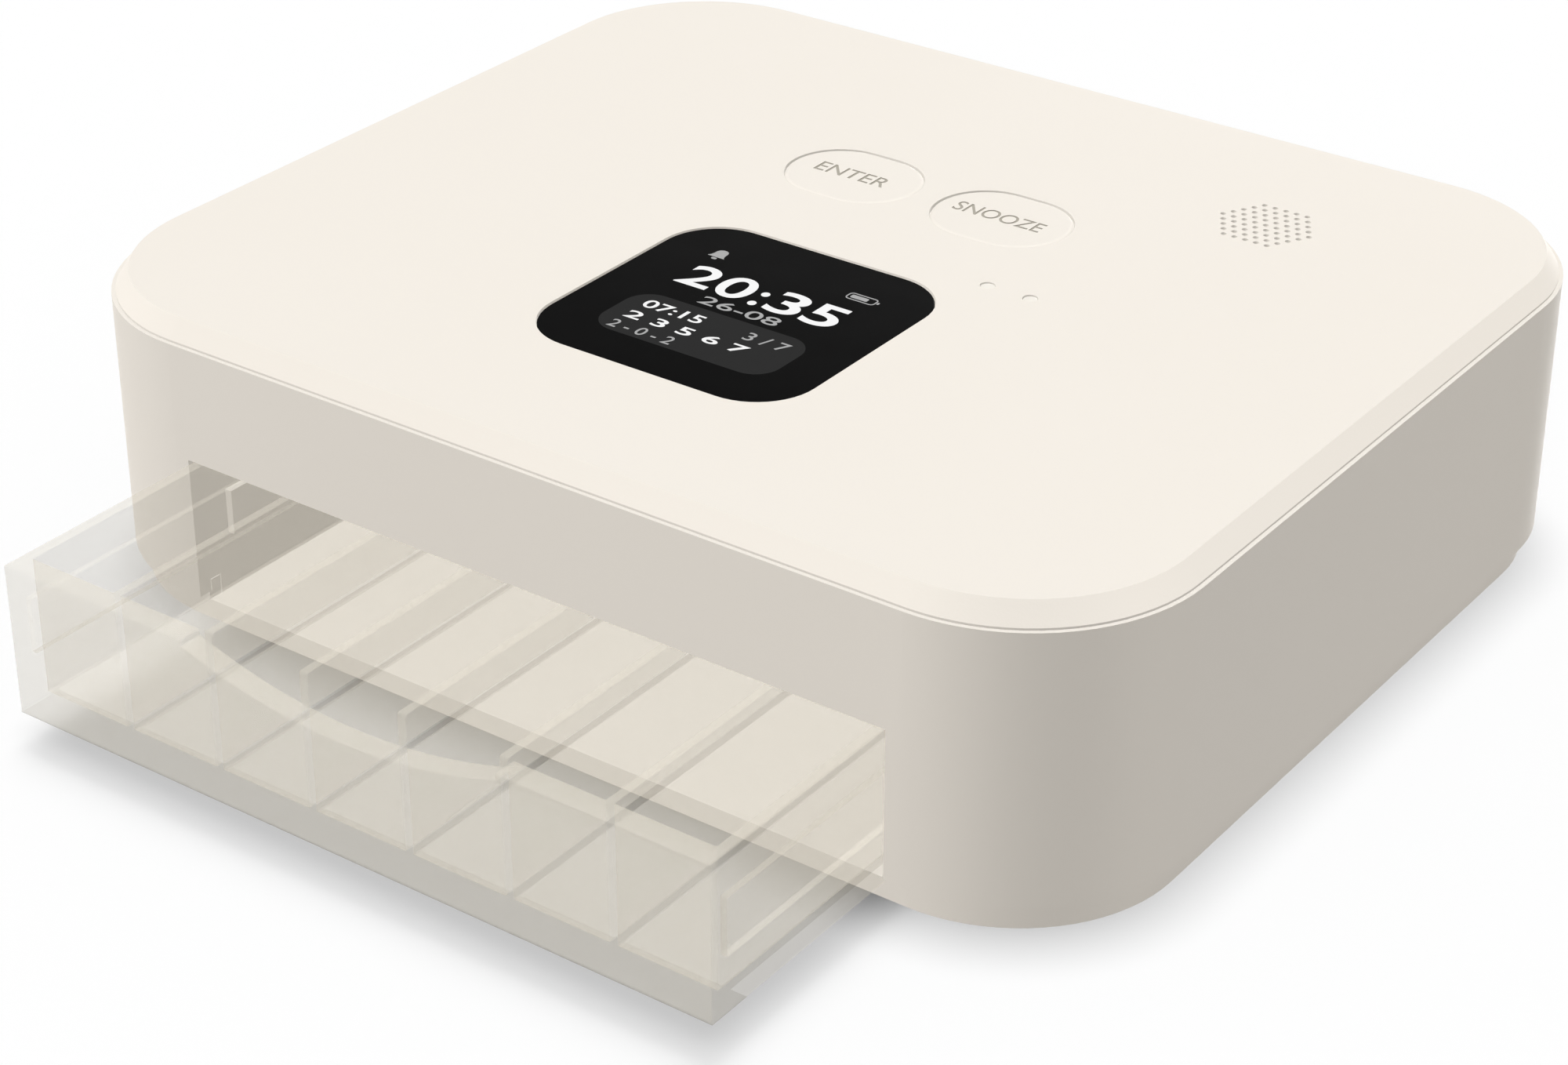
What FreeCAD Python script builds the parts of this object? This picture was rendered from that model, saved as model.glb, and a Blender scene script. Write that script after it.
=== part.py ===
import FreeCAD, Part
import math
import os

os.makedirs("parts", exist_ok=True)

# Smart pill box, in millimetres. +X is to the right of the front, +Y to the back, +Z up.
# The origin is the centre of the sole, on the table.

# Body
body_width = 200.0
body_depth = 170.0
corner_radius = 30.0
wall = 2.5
base_inset = 2.1
base_side = 4.9
base_floor = 3.5
spigot_height = 2.0
spigot_thickness = 2.0
sole_margin = 25.0
sole_radius = 12.0
sole_thickness = 1.6
sole_out = 0.6

# Lid
cover_rise = 3.6
cover_thickness = 2.2
cover_edge = 0.35
edge_inset = 0.7
top_inset = 3.0
lip_gap = 0.2
lip_thickness = 1.5
lip_depth = 4.0
snap_length = 12.0
snap_out = 0.6
snap_height = 1.2
snap_level = 1.6
snap_clearance = 0.3

# Front slot, drawer bay and drawer
slot_side = 32.5
slot_height = 26.8
slot_relief = 6.0
bay_wall = 2.0
rear_room = 49.0
deck_step = 0.25
rail_height = 8.0
rail_depth = 1.3
rail_length = 30.0
rail_start = 7.5
rail_level = 14.1
rail_play = 0.8
rail_clearance = 0.3
tab_reach = 5.5
tab_edge = 4.5
tab_width = 10.0
tab_front = 30.0
tab_back = 16.0
tab_level = 5.0
tab_thickness = 2.5
drawer_gap = 0.5
drawer_floor_gap = 0.05
drawer_top_gap = 0.55
drawer_stop_gap = 1.0
drawer_pulled = 40.0
drawer_front = 4.0
drawer_back = 3.2
drawer_side = 2.0
drawer_floor = 2.5
compartments = 7
divider = 1.5
groove_start = 3.5
groove_end = 10.0
scoop_width = 60.0
scoop_depth = 6.0
scoop_shoulder = 1.0
magnet_radius = 4.0
magnet_thickness = 2.0

# Display
screen_size = 51.0
screen_radius = 10.5
screen_from_front = 30.9
screen_gap = 0.15
lens_thickness = 1.2
lens_border = 3.0
adhesive = 0.2
panel_thickness = 2.6
panel_gap = 0.8
flex_width = 12.0
flex_thickness = 0.25
flex_tail = 6.0
flex_inset = 2.0

# Buttons
button_length = 25.2
button_width = 20.0
button_bridge = 4.8
button_behind_screen = 18.5
button_gap = 0.35
button_flange = 1.75
button_flange_thickness = 1.2
button_round = 1.2
button_travel = 0.8
stem_radius = 2.2
stem_length = 1.0
dome_foot_radius = 8.5
dome_foot = 0.8
dome_base_radius = 7.2
dome_top_radius = 6.4
dome_wall = 1.5
switch_size = 6.2
plunger_radius = 1.6
plunger_rise = 0.6
plunger_gap = 0.1

# Status lights
light_x = 27.2
light_spacing = 8.1
light_behind_screen = 5.3
light_hole_radius = 1.3
light_pipe_gap = 0.1
light_collar = 0.9
light_collar_thickness = 1.2
lamp_length = 2.0
lamp_width = 1.2
lamp_height = 1.0

# Speaker
grille_from_back = 36.1
grille_pitch = 2.02
grille_rings = 4
grille_hole_radius = 0.5
grille_margin = 1.92
speaker_gap = 0.25
speaker_ring = 1.5
speaker_mesh = 0.3
speaker_gasket = 0.8
speaker_surround = 1.5
speaker_rim = 3.0
speaker_floor = 0.8
speaker_magnet = 2.0
speaker_magnet_radius = 6.5
cone_foot_radius = 3.5
cone_thickness = 0.5
clamp_width = 8.0
clamp_thickness = 1.5
clamp_gap = 0.75

# Electronics
board_side = 4.7
board_ahead = 1.9
board_behind = 6.6
board_radius = 3.0
board_thickness = 1.6
board_drop = 5.8
board_to_grille = 12.0
standoff_inset = 4.0
module_width = 18.0
module_length = 14.0
module_height = 2.4
module_inset = 7.0
module_from_back = 24.0
battery_width = 60.0
battery_length = 50.0
battery_thickness = 7.6
battery_radius = 3.0
battery_round = 1.5
battery_from_front = 38.0
battery_headroom = 3.75
pad_thickness = 0.5
pad_inset = 2.5
fence_gap = 0.5
fence_wall = 1.8
fence_height = 2.0
plug_width = 8.0
plug_length = 6.0
plug_height = 3.6
plug_reach = 22.0
sensor_width = 16.0
sensor_height = 12.0
sensor_thickness = 1.6
chip_width = 3.0
chip_height = 1.6
chip_thickness = 1.2
port_width = 9.0
port_height = 3.2
port_depth = 7.4
port_level = 9.5
port_gap = 0.4
port_recess = 0.8
port_shell = 0.35
port_back = 1.5
tongue_width = 6.4
tongue_thickness = 0.7
tongue_setback = 0.8
charge_width = 26.0
charge_thickness = 1.6
charge_gap = 0.5
post_spacing = 18.0
post_from_wall = 18.0
post_margin = 4.0

# Leads inside the case: radius, place and the straight run at each end
battery_lead_radius = 0.7
battery_lead_spacing = 2.8
battery_lead_run = 7.0
speaker_lead_radius = 0.5
speaker_lead_inset = 8.0
speaker_lead_exit = 5.0
speaker_lead_run = 6.0
charge_lead_radius = 0.9
charge_lead_x = -6.0
charge_lead_inset = 1.0
charge_lead_run = 12.0
sensor_lead_radius = 0.5
sensor_lead_x = 5.0
sensor_lead_inset = 2.0
sensor_lead_run = 7.0

# Screws and the bosses that take them
screw_radius = 1.5
screw_head_radius = 2.75
screw_head = 1.8
base_screw_length = 12.0
small_screw_radius = 0.85
small_head_radius = 1.9
small_head = 1.2
hole_clearance = 0.2
head_clearance = 0.25
head_sink = 0.4
pilot_floor = 0.4
pilot_roof = 1.0
pilot_spare = 3.3
tip_gap = 0.6
boss_radius = 4.0
small_boss_radius = 3.0
column_radius = 4.5
column_margin = 1.5
column_web = 2.0
web_gap = 0.5

# Cuts run this far past a face, and bosses are rooted this deep in their plate.
past = 1.0
root = 0.2

# Levels, from the table up
base_z = sole_out
bay_floor_z = base_z + base_floor
shell_z = base_z + base_side
spigot_z = shell_z + spigot_height
slot_top = bay_floor_z + slot_height
drawer_z = bay_floor_z + drawer_floor_gap
drawer_top = slot_top - drawer_top_gap
deck_z = slot_top + deck_step
deck_top = deck_z + bay_wall
pad_top = deck_top + pad_thickness
battery_top = pad_top + battery_thickness
board_z = battery_top + battery_headroom
board_top = board_z + board_thickness
under_z = board_top + board_drop
top_z = under_z + cover_thickness
rim_z = top_z - cover_rise
lens_z = top_z - lens_thickness
seat_z = lens_z - adhesive
panel_z = lens_z - panel_thickness
flange_z = under_z - button_flange_thickness
mesh_z = under_z - speaker_mesh
gasket_z = mesh_z - speaker_gasket
ring_z = gasket_z - speaker_rim
clamp_top = ring_z - speaker_magnet
clamp_z = clamp_top - clamp_thickness
snap_z = rim_z - lip_depth + snap_level
tab_z = bay_floor_z + tab_level
tab_top = tab_z + tab_thickness
base_head_z = base_z + screw_head + head_sink
port_z = bay_floor_z + port_level
post_z = port_z - port_height / 2 - charge_thickness
charge_top = post_z + charge_thickness
magnet_z = (drawer_z + drawer_top) / 2
rail_z = drawer_z + rail_level
plug_z = board_z - plug_height

# Plan positions, from the front and the back of the body
front_y = -body_depth / 2
back_y = body_depth / 2
bay_half = body_width / 2 - slot_side
bay_back = back_y - rear_room
drawer_half = bay_half - drawer_gap
drawer_y = front_y - drawer_pulled
drawer_end = bay_back - drawer_stop_gap - drawer_pulled
groove_depth = rail_depth - drawer_gap + rail_clearance
groove_height = rail_height + 2 * rail_play
sensor_y = bay_back + bay_wall
screen_y = front_y + screen_from_front + screen_size / 2
screen_back = screen_y + screen_size / 2
panel_size = screen_size - 2 * lens_border
panel_radius = screen_radius - lens_border
window_size = panel_size + 2 * panel_gap
window_radius = panel_radius + panel_gap
light_y = screen_back + light_behind_screen
button_y = screen_back + button_behind_screen + button_width / 2
button_x = (button_length + button_bridge) / 2
board_front = screen_y - screen_size / 2 - board_ahead
board_back = button_y + button_width / 2 + board_behind
board_half = light_x + light_spacing + board_side
grille_x = board_half + board_to_grille
grille_y = back_y - grille_from_back
speaker_radius = grille_rings * grille_pitch + grille_margin
battery_y = front_y + battery_from_front + battery_length / 2
battery_back = battery_y + battery_length / 2
plug_y = battery_back + plug_reach
post_y = back_y - wall - post_from_wall
charge_front = post_y - post_margin
charge_back = back_y - wall - charge_gap
lip_outer = wall + lip_gap
lip_inner = lip_outer + lip_thickness
inner_radius = corner_radius - wall
column_reach = inner_radius - column_radius - column_margin
column_x = body_width / 2 - corner_radius + column_reach / math.sqrt(2)
column_y = body_depth / 2 - corner_radius + column_reach / math.sqrt(2)
tab_x = bay_half + bay_wall + tab_reach
clamp_reach = speaker_radius + speaker_gap + speaker_ring + small_boss_radius + clamp_gap

# Places of what repeats
sides = (-1, 1)
columns = [(sx * column_x, sy * column_y) for sx in sides for sy in sides]
tabs = [(sx * tab_x, ty) for sx in sides for ty in (front_y + tab_front, bay_back - tab_back)]
buttons = [-button_x, button_x]
lights = [light_x, light_x + light_spacing]
posts = [(sx * post_spacing / 2, post_y) for sx in sides]
standoff_x = board_half - standoff_inset
standoff_ys = (board_front + standoff_inset, board_back - standoff_inset)
standoffs = [(sx * standoff_x, sy) for sx in sides for sy in standoff_ys]
clamps = [(grille_x, grille_y + sy * clamp_reach) for sy in sides]
large_screw = (screw_radius, screw_head_radius, screw_head)
small_screw = (small_screw_radius, small_head_radius, small_head)


def vec(x, y, z):
    return FreeCAD.Vector(x, y, z)


def box(x0, x1, y0, y1, z0, z1):
    return Part.makeBox(x1 - x0, y1 - y0, z1 - z0, vec(x0, y0, z0))


def rod(x, y, z0, z1, radius):
    return Part.makeCylinder(radius, z1 - z0, vec(x, y, z0))


def rounded_wire(width, depth, radius, z, x=0.0, y=0.0):
    # Rectangle with round corners, in a level plane.
    w = width / 2 - radius
    d = depth / 2 - radius
    centres = ((w, d), (-w, d), (-w, -d), (w, -d))
    edges = []
    for i in range(4):
        cx, cy = centres[i]
        nx, ny = centres[(i + 1) % 4]
        start = i * math.pi / 2
        end = start + math.pi / 2
        circle = Part.Circle(vec(x + cx, y + cy, z), vec(0, 0, 1), radius)
        edges.append(Part.Arc(circle, start, end).toShape())
        leave = vec(x + cx + radius * math.cos(end), y + cy + radius * math.sin(end), z)
        enter = vec(x + nx + radius * math.cos(end), y + ny + radius * math.sin(end), z)
        if leave.distanceToPoint(enter) > 1e-6:
            edges.append(Part.makeLine(leave, enter))
    return Part.Wire(edges)


def rounded_block(width, depth, radius, z0, z1, x=0.0, y=0.0):
    face = Part.Face(rounded_wire(width, depth, radius, z0, x, y))
    return face.extrude(vec(0, 0, z1 - z0))


def body_wire(inset, z):
    # The body's plan outline, moved in by an inset.
    return rounded_wire(body_width - 2 * inset, body_depth - 2 * inset, corner_radius - inset, z)


def body_block(inset, z0, z1):
    return Part.Face(body_wire(inset, z0)).extrude(vec(0, 0, z1 - z0))


def pill(length, width, z0, z1, x, y):
    return rounded_block(length, width, width / 2, z0, z1, x, y)


def screw_up(x, y, z, length, size):
    # Pan head below z, shank above it.
    radius, head_radius, head = size
    shank = rod(x, y, z, z + length, radius)
    return shank.fuse(rod(x, y, z - head, z, head_radius)).removeSplitter()


def screw_down(x, y, z, length, size):
    # Pan head above z, shank below it.
    radius, head_radius, head = size
    shank = rod(x, y, z - length, z, radius)
    return shank.fuse(rod(x, y, z, z + head, head_radius)).removeSplitter()


def lead(name, points, radius):
    # Round wire along straight runs joined by tangent arcs, each as large as its two runs allow.
    edges = []
    bends = []
    here = points[0]
    for before, corner, after in zip(points, points[1:], points[2:]):
        arriving = (corner - before).normalize()
        leaving = (after - corner).normalize()
        half_turn = arriving.getAngle(leaving) / 2
        trim = 0.45 * min(before.distanceToPoint(corner), corner.distanceToPoint(after))
        bend = trim / math.tan(half_turn)
        enter = corner - arriving * trim
        leave = corner + leaving * trim
        inward = (leaving - arriving).normalize()
        middle = corner + inward * (bend / math.cos(half_turn) - bend)
        edges.append(Part.LineSegment(here, enter).toShape())
        edges.append(Part.Arc(enter, middle, leave).toShape())
        bends.append(round(bend, 1))
        here = leave
    edges.append(Part.LineSegment(here, points[-1]).toShape())
    path = Part.Wire(edges)
    section = Part.Wire([Part.makeCircle(radius, points[0], points[1] - points[0])])
    tube = path.makePipeShell([section], True, False)
    filled = tube.Volume / (math.pi * radius ** 2 * path.Length)
    print(name, "length", round(path.Length, 1), "bend radii", bends, "volume ratio", round(filled, 4))
    return tube


def save(shape, name):
    shape.exportStep("parts/" + name + ".step")


# Snap beads of the lid: the middle of each bead, and the direction that it points in.
snaps = []
for side in sides:
    snaps.append((side * body_width / 4, front_y, 0, -1))
    snaps.append((side * body_width / 4, back_y, 0, 1))
    snaps.append((side * body_width / 2, 0.0, side, 0))


def snap_bar(snap, depth_from, depth_to, length, height):
    # A bar along the wall between two depths in from the outside.
    x, y, dx, dy = snap
    xs = (x - length / 2, x + length / 2)
    ys = (y - length / 2, y + length / 2)
    if dx:
        xs = sorted((x - dx * depth_from, x - dx * depth_to))
    else:
        ys = sorted((y - dy * depth_from, y - dy * depth_to))
    return box(xs[0], xs[1], ys[0], ys[1], snap_z - height / 2, snap_z + height / 2)


# Body shell: a tub wall, open above and below, with a column for a screw in each corner.
shell = body_block(0.0, shell_z, rim_z).cut(body_block(wall, shell_z - past, rim_z + past))
for cx, cy in columns:
    web_length = inner_radius - column_reach + wall / 2
    web = box(0.0, web_length, -column_web / 2, column_web / 2, spigot_z + web_gap, deck_top)
    angle = math.degrees(math.atan2(math.copysign(1, cy), math.copysign(1, cx)))
    web.rotate(vec(0, 0, 0), vec(0, 0, 1), angle)
    web.translate(vec(cx, cy, 0))
    shell = shell.fuse(web).fuse(rod(cx, cy, bay_floor_z, deck_top, column_radius))
    pilot_top = base_head_z + base_screw_length + pilot_spare
    shell = shell.cut(rod(cx, cy, bay_floor_z - past, pilot_top, screw_radius))
shell = shell.cut(box(-bay_half, bay_half, front_y - past, front_y + wall + past, shell_z - past, slot_top))
port_hole = pill(port_width + 2 * port_gap, port_height + 2 * port_gap, -past, wall + past, 0.0, 0.0)
port_hole.rotate(vec(0, 0, 0), vec(1, 0, 0), -90)
port_hole.translate(vec(0, back_y - wall, port_z))
shell = shell.cut(port_hole)
for snap in snaps:
    pocket_depth = lip_outer - snap_out - snap_clearance
    pocket_length = snap_length + 2 * snap_clearance
    pocket_height = snap_height + 2 * snap_clearance
    shell = shell.cut(snap_bar(snap, pocket_depth, wall + past, pocket_length, pocket_height))
save(shell.removeSplitter(), "body_shell")

# Top cover: a chamfered lid with a lip inside the shell's rim.
edge_top = rim_z + cover_edge
cover = Part.makeLoft([body_wire(edge_inset, edge_top), body_wire(top_inset, top_z)], True, True)
cover = cover.fuse(body_block(edge_inset, rim_z, edge_top))
cover = cover.cut(body_block(lip_inner, rim_z - past, under_z))
lip = body_block(lip_outer, rim_z - lip_depth, edge_top)
cover = cover.fuse(lip.cut(body_block(lip_inner, rim_z - lip_depth - past, edge_top + past)))
for snap in snaps:
    cover = cover.fuse(snap_bar(snap, lip_outer - snap_out, lip_inner, snap_length, snap_height))
opening = screen_size + 2 * screen_gap
pocket = rounded_block(opening, opening, screen_radius + screen_gap, seat_z, top_z + past, 0.0, screen_y)
window = rounded_block(window_size, window_size, window_radius, under_z - past, top_z, 0.0, screen_y)
cover = cover.cut(pocket).cut(window)
for bx in buttons:
    cover = cover.cut(pill(button_length, button_width, under_z - past, top_z + past, bx, button_y))
for lx in lights:
    cover = cover.cut(rod(lx, light_y, under_z - past, top_z + past, light_hole_radius))
holes = []
for row in range(-grille_rings, grille_rings + 1):
    count = 2 * grille_rings + 1 - abs(row)
    for k in range(count):
        hx = grille_x + (k - (count - 1) / 2) * grille_pitch
        hy = grille_y + row * grille_pitch * math.sqrt(3) / 2
        holes.append(rod(hx, hy, under_z - past, top_z + past, grille_hole_radius))
cover = cover.cut(holes)
ring = rod(grille_x, grille_y, ring_z, under_z + root, speaker_radius + speaker_gap + speaker_ring)
ring = ring.cut(rod(grille_x, grille_y, ring_z - past, under_z + past, speaker_radius + speaker_gap))
cover = cover.fuse(ring)
bosses = [(x, y, clamp_top) for x, y in clamps] + [(x, y, board_top) for x, y in standoffs]
for x, y, foot in bosses:
    cover = cover.fuse(rod(x, y, foot, under_z + root, small_boss_radius))
    cover = cover.cut(rod(x, y, foot - past, under_z - pilot_roof, small_screw_radius))
save(cover.removeSplitter(), "top_cover")

# Base plate: an inset tray floor that stands up inside the shell.
base = body_block(base_inset, base_z, bay_floor_z)
rim = body_block(base_inset, bay_floor_z, shell_z).fuse(body_block(lip_outer, bay_floor_z, spigot_z))
base = base.fuse(rim.cut(body_block(lip_outer + spigot_thickness, bay_floor_z, spigot_z + past)))
base = base.cut(box(-bay_half, bay_half, front_y, front_y + wall + slot_relief, bay_floor_z, spigot_z + past))
for cx, cy in columns:
    base = base.cut(rod(cx, cy, bay_floor_z, spigot_z + past, column_radius + lip_gap))
    base = base.cut(rod(cx, cy, base_z - past, bay_floor_z + past, screw_radius + hole_clearance))
    base = base.cut(rod(cx, cy, base_z - past, base_head_z, screw_head_radius + head_clearance))
for tx, ty in tabs:
    base = base.fuse(rod(tx, ty, bay_floor_z - root, tab_z, boss_radius))
    base = base.cut(rod(tx, ty, bay_floor_z + pilot_floor, tab_z + past, screw_radius))
for px, py in posts:
    base = base.fuse(rod(px, py, bay_floor_z - root, post_z, small_boss_radius))
    base = base.cut(rod(px, py, bay_floor_z + pilot_floor, post_z + past, small_screw_radius))
sole_width = body_width - 2 * sole_margin
sole_depth = body_depth - 2 * sole_margin
sole = rounded_block(sole_width, sole_depth, sole_radius, 0.0, sole_thickness)
save(base.cut(sole).removeSplitter(), "base_plate")

# Anti-slip sole: a silicone sheet set into the base; the box stands on it.
save(sole, "anti_slip_sole")

# Drawer bay: a hood over the drawer, with guide ribs inside and screw tabs outside.
bay_outer = bay_half + bay_wall
bay = box(-bay_outer, bay_outer, front_y + wall, sensor_y, bay_floor_z, deck_top)
bay = bay.cut(box(-bay_half, bay_half, front_y, bay_back, bay_floor_z - past, deck_z))
notch_y = front_y + lip_outer + spigot_thickness + lip_gap
bay = bay.cut(box(-body_width, body_width, front_y, notch_y, bay_floor_z - past, spigot_z + lip_gap))
for s in sides:
    xs = sorted((s * (bay_half - rail_depth), s * (bay_half + bay_wall / 2)))
    rail_y = front_y + rail_start
    rail_half = rail_height / 2
    bay = bay.fuse(box(xs[0], xs[1], rail_y, rail_y + rail_length, rail_z - rail_half, rail_z + rail_half))
for tx, ty in tabs:
    xs = sorted((math.copysign(bay_half + bay_wall / 2, tx), tx + math.copysign(tab_edge, tx)))
    bay = bay.fuse(box(xs[0], xs[1], ty - tab_width / 2, ty + tab_width / 2, tab_z, tab_top))
    bay = bay.cut(rod(tx, ty, tab_z - past, tab_top + past, screw_radius + hole_clearance))


def battery_outline(grow, z0, z1):
    # The battery's plan outline, moved out by a distance.
    width = battery_width + 2 * grow
    length = battery_length + 2 * grow
    return rounded_block(width, length, battery_radius + grow, z0, z1, 0.0, battery_y)


fence_top = deck_top + fence_height
fence = battery_outline(fence_gap + fence_wall, deck_top - root, fence_top)
bay = bay.fuse(fence.cut(battery_outline(fence_gap, deck_z, fence_top + past)))
save(bay.removeSplitter(), "drawer_bay")

# Pill drawer: a clear tray pulled part of the way out, with a magnet pressed into its back.
drawer = box(-drawer_half, drawer_half, drawer_y, drawer_end, drawer_z, drawer_top)
inside = 2 * (drawer_half - drawer_side)
cell = (inside - (compartments - 1) * divider) / compartments
cell_front = drawer_y + drawer_front
cell_back = drawer_end - drawer_back
for k in range(compartments):
    x0 = -inside / 2 + k * (cell + divider)
    drawer = drawer.cut(box(x0, x0 + cell, cell_front, cell_back, drawer_z + drawer_floor, drawer_top + past))
for s in sides:
    xs = sorted((s * (drawer_half - groove_depth), s * (drawer_half + past)))
    groove_z = rail_z - groove_height / 2
    groove_front = drawer_y + groove_start
    groove_back = drawer_end - groove_end
    drawer = drawer.cut(box(xs[0], xs[1], groove_front, groove_back, groove_z, groove_z + groove_height))
scoop_y = drawer_y - past
scoop_left = vec(-scoop_width / 2, scoop_y, drawer_top - scoop_shoulder)
scoop_right = vec(scoop_width / 2, scoop_y, drawer_top - scoop_shoulder)
scoop_bottom = vec(0, scoop_y, drawer_top - scoop_depth)
rise = vec(0, 0, scoop_shoulder + past)
scoop_edges = [Part.Arc(scoop_left, scoop_bottom, scoop_right).toShape()]
scoop_edges.append(Part.makeLine(scoop_right, scoop_right + rise))
scoop_edges.append(Part.makeLine(scoop_right + rise, scoop_left + rise))
scoop_edges.append(Part.makeLine(scoop_left + rise, scoop_left))
drawer = drawer.cut(Part.Face(Part.Wire(scoop_edges)).extrude(vec(0, drawer_front + past, 0)))
magnet_place = vec(0, drawer_end - magnet_thickness, magnet_z)
magnet = Part.makeCylinder(magnet_radius, magnet_thickness, magnet_place, vec(0, 1, 0))
save(drawer.cut(magnet).removeSplitter(), "pill_drawer")
save(magnet, "drawer_magnet")

# Drawer sensor: a small board on the back of the bay, with the sensor on it and a lead to the main board.
sensor_back = sensor_y + sensor_thickness
sensor_top = magnet_z + sensor_height / 2
sensor_foot = magnet_z - sensor_height / 2
save(box(-sensor_width / 2, sensor_width / 2, sensor_y, sensor_back, sensor_foot, sensor_top), "sensor_board")
chip = box(-chip_width / 2, chip_width / 2, sensor_back, sensor_back + chip_thickness, 0.0, chip_height)
chip.translate(vec(0, 0, magnet_z - chip_height / 2))
save(chip, "hall_sensor")
start = vec(sensor_lead_x, sensor_y + sensor_thickness / 2, sensor_top)
end = vec(sensor_lead_x, board_back - sensor_lead_inset, board_z)
climb = vec(0, 0, sensor_lead_run)
save(lead("sensor_cable", [start, start + climb, end - climb, end], sensor_lead_radius), "sensor_cable")

# Display: a black lens, its adhesive frame, the panel bonded behind it and a flexible strip to the board.
save(rounded_block(screen_size, screen_size, screen_radius, lens_z, top_z, 0.0, screen_y), "display_lens")
frame = rounded_block(screen_size, screen_size, screen_radius, seat_z, lens_z, 0.0, screen_y)
save(frame.cut(window), "display_adhesive")
save(rounded_block(panel_size, panel_size, panel_radius, panel_z, lens_z, 0.0, screen_y), "display_panel")
flex_y = screen_y + panel_size / 2 - flex_inset
flex_half = flex_width / 2
flex_front = flex_y - flex_thickness
flex = box(-flex_half, flex_half, flex_y - flex_tail, flex_y, panel_z - flex_thickness, panel_z)
flex = flex.fuse(box(-flex_half, flex_half, flex_front, flex_y, board_top, panel_z))
flex_foot = board_top + flex_thickness
flex = flex.fuse(box(-flex_half, flex_half, flex_front, flex_y + flex_tail, board_top, flex_foot))
save(flex.removeSplitter(), "display_flex")

# Buttons: caps with a flange under the lid, silicone domes that push them up, and a switch below each.
cap_length = button_length - 2 * button_gap
cap_width = button_width - 2 * button_gap
flange_length = cap_length + 2 * button_flange
flange_width = cap_width + 2 * button_flange
dome_profile = (
    (dome_foot_radius, board_top),
    (dome_foot_radius, board_top + dome_foot),
    (dome_base_radius, board_top + dome_foot),
    (dome_top_radius, flange_z),
    (dome_top_radius - dome_wall, flange_z),
    (dome_base_radius - dome_wall, board_top),
)
plunger_top = flange_z - stem_length - button_travel - plunger_gap
switch_top = plunger_top - plunger_rise
switch_half = switch_size / 2
switches = []
for bx, name in zip(buttons, ("confirm", "snooze")):
    cap = pill(cap_length, cap_width, flange_z, top_z, bx, button_y)
    top_edges = [e for e in cap.Edges if all(abs(v.Z - top_z) < 1e-6 for v in e.Vertexes)]
    cap = cap.makeFillet(button_round, top_edges)
    flange = pill(flange_length, flange_width, flange_z, under_z, bx, button_y)
    stem = rod(bx, button_y, flange_z - stem_length, flange_z, stem_radius)
    save(cap.fuse(flange).fuse(stem).removeSplitter(), name + "_button")
    points = [vec(bx + r, button_y, z) for r, z in dome_profile]
    dome = Part.Face(Part.makePolygon(points + [points[0]]))
    save(dome.revolve(vec(bx, button_y, 0), vec(0, 0, 1), 360), name + "_dome")
    switch = box(-switch_half, switch_half, -switch_half, switch_half, board_top, switch_top)
    switch.translate(vec(bx, button_y, 0))
    switches.append(switch.fuse(rod(bx, button_y, switch_top - root, plunger_top, plunger_radius)))
save(Part.makeCompound(switches), "tact_switches")

# Status lights: clear pipes with a collar under the lid, over lamps on the board.
pipes = []
lamps = []
lamp_top = board_top + lamp_height
for lx in lights:
    pipe = rod(lx, light_y, lamp_top, top_z, light_hole_radius - light_pipe_gap)
    collar_z = under_z - light_collar_thickness
    collar = rod(lx, light_y, collar_z, under_z, light_hole_radius + light_collar)
    pipes.append(pipe.fuse(collar).removeSplitter())
    lamp = box(-lamp_length / 2, lamp_length / 2, -lamp_width / 2, lamp_width / 2, board_top, lamp_top)
    lamp.translate(vec(lx, light_y, 0))
    lamps.append(lamp)
save(Part.makeCompound(pipes), "light_pipes")
save(Part.makeCompound(lamps), "status_leds")

# Main board and what is soldered to it.
board_length = board_back - board_front
board_middle = (board_front + board_back) / 2
board = rounded_block(2 * board_half, board_length, board_radius, board_z, board_top, 0.0, board_middle)
for sx, sy in standoffs:
    board = board.cut(rod(sx, sy, board_z - past, board_top + past, small_screw_radius + hole_clearance))
save(board, "main_board")
module = box(0.0, module_width, -module_length, 0.0, -module_height, 0.0)
module.translate(vec(module_inset - board_half, board_back - module_from_back, board_z))
save(module, "wireless_module")
plug = box(-plug_width / 2, plug_width / 2, plug_y, plug_y + plug_length, plug_z, board_z)
save(plug, "battery_connector")

# Battery: a flat pack on a foam pad, on the bay's deck, with its two leads.
save(battery_outline(-pad_inset, deck_top, pad_top), "battery_pad")
pack = battery_outline(0.0, pad_top, battery_top)
rims = [e for e in pack.Edges if abs(e.Vertexes[0].Z - e.Vertexes[-1].Z) < 1e-6]
save(pack.makeFillet(battery_round, rims), "battery")
leads = []
for s in sides:
    lead_x = s * battery_lead_spacing / 2
    start = vec(lead_x, battery_back, (pad_top + battery_top) / 2)
    end = vec(lead_x, plug_y, (plug_z + board_z) / 2)
    run = vec(0, battery_lead_run, 0)
    leads.append(lead("battery_cable", [start, start + run, end - run, end], battery_lead_radius))
save(Part.makeCompound(leads), "battery_cable")

# Speaker: dust mesh, gasket, frame with its magnet, cone, and a clamp bar with two screws.
cone_top_radius = speaker_radius - speaker_surround
cone_z = ring_z + speaker_floor


def cone_form(z):
    # The hollow of the speaker, which widens upwards.
    return Part.makeCone(cone_foot_radius, cone_top_radius, gasket_z - cone_z, vec(grille_x, grille_y, z))


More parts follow.
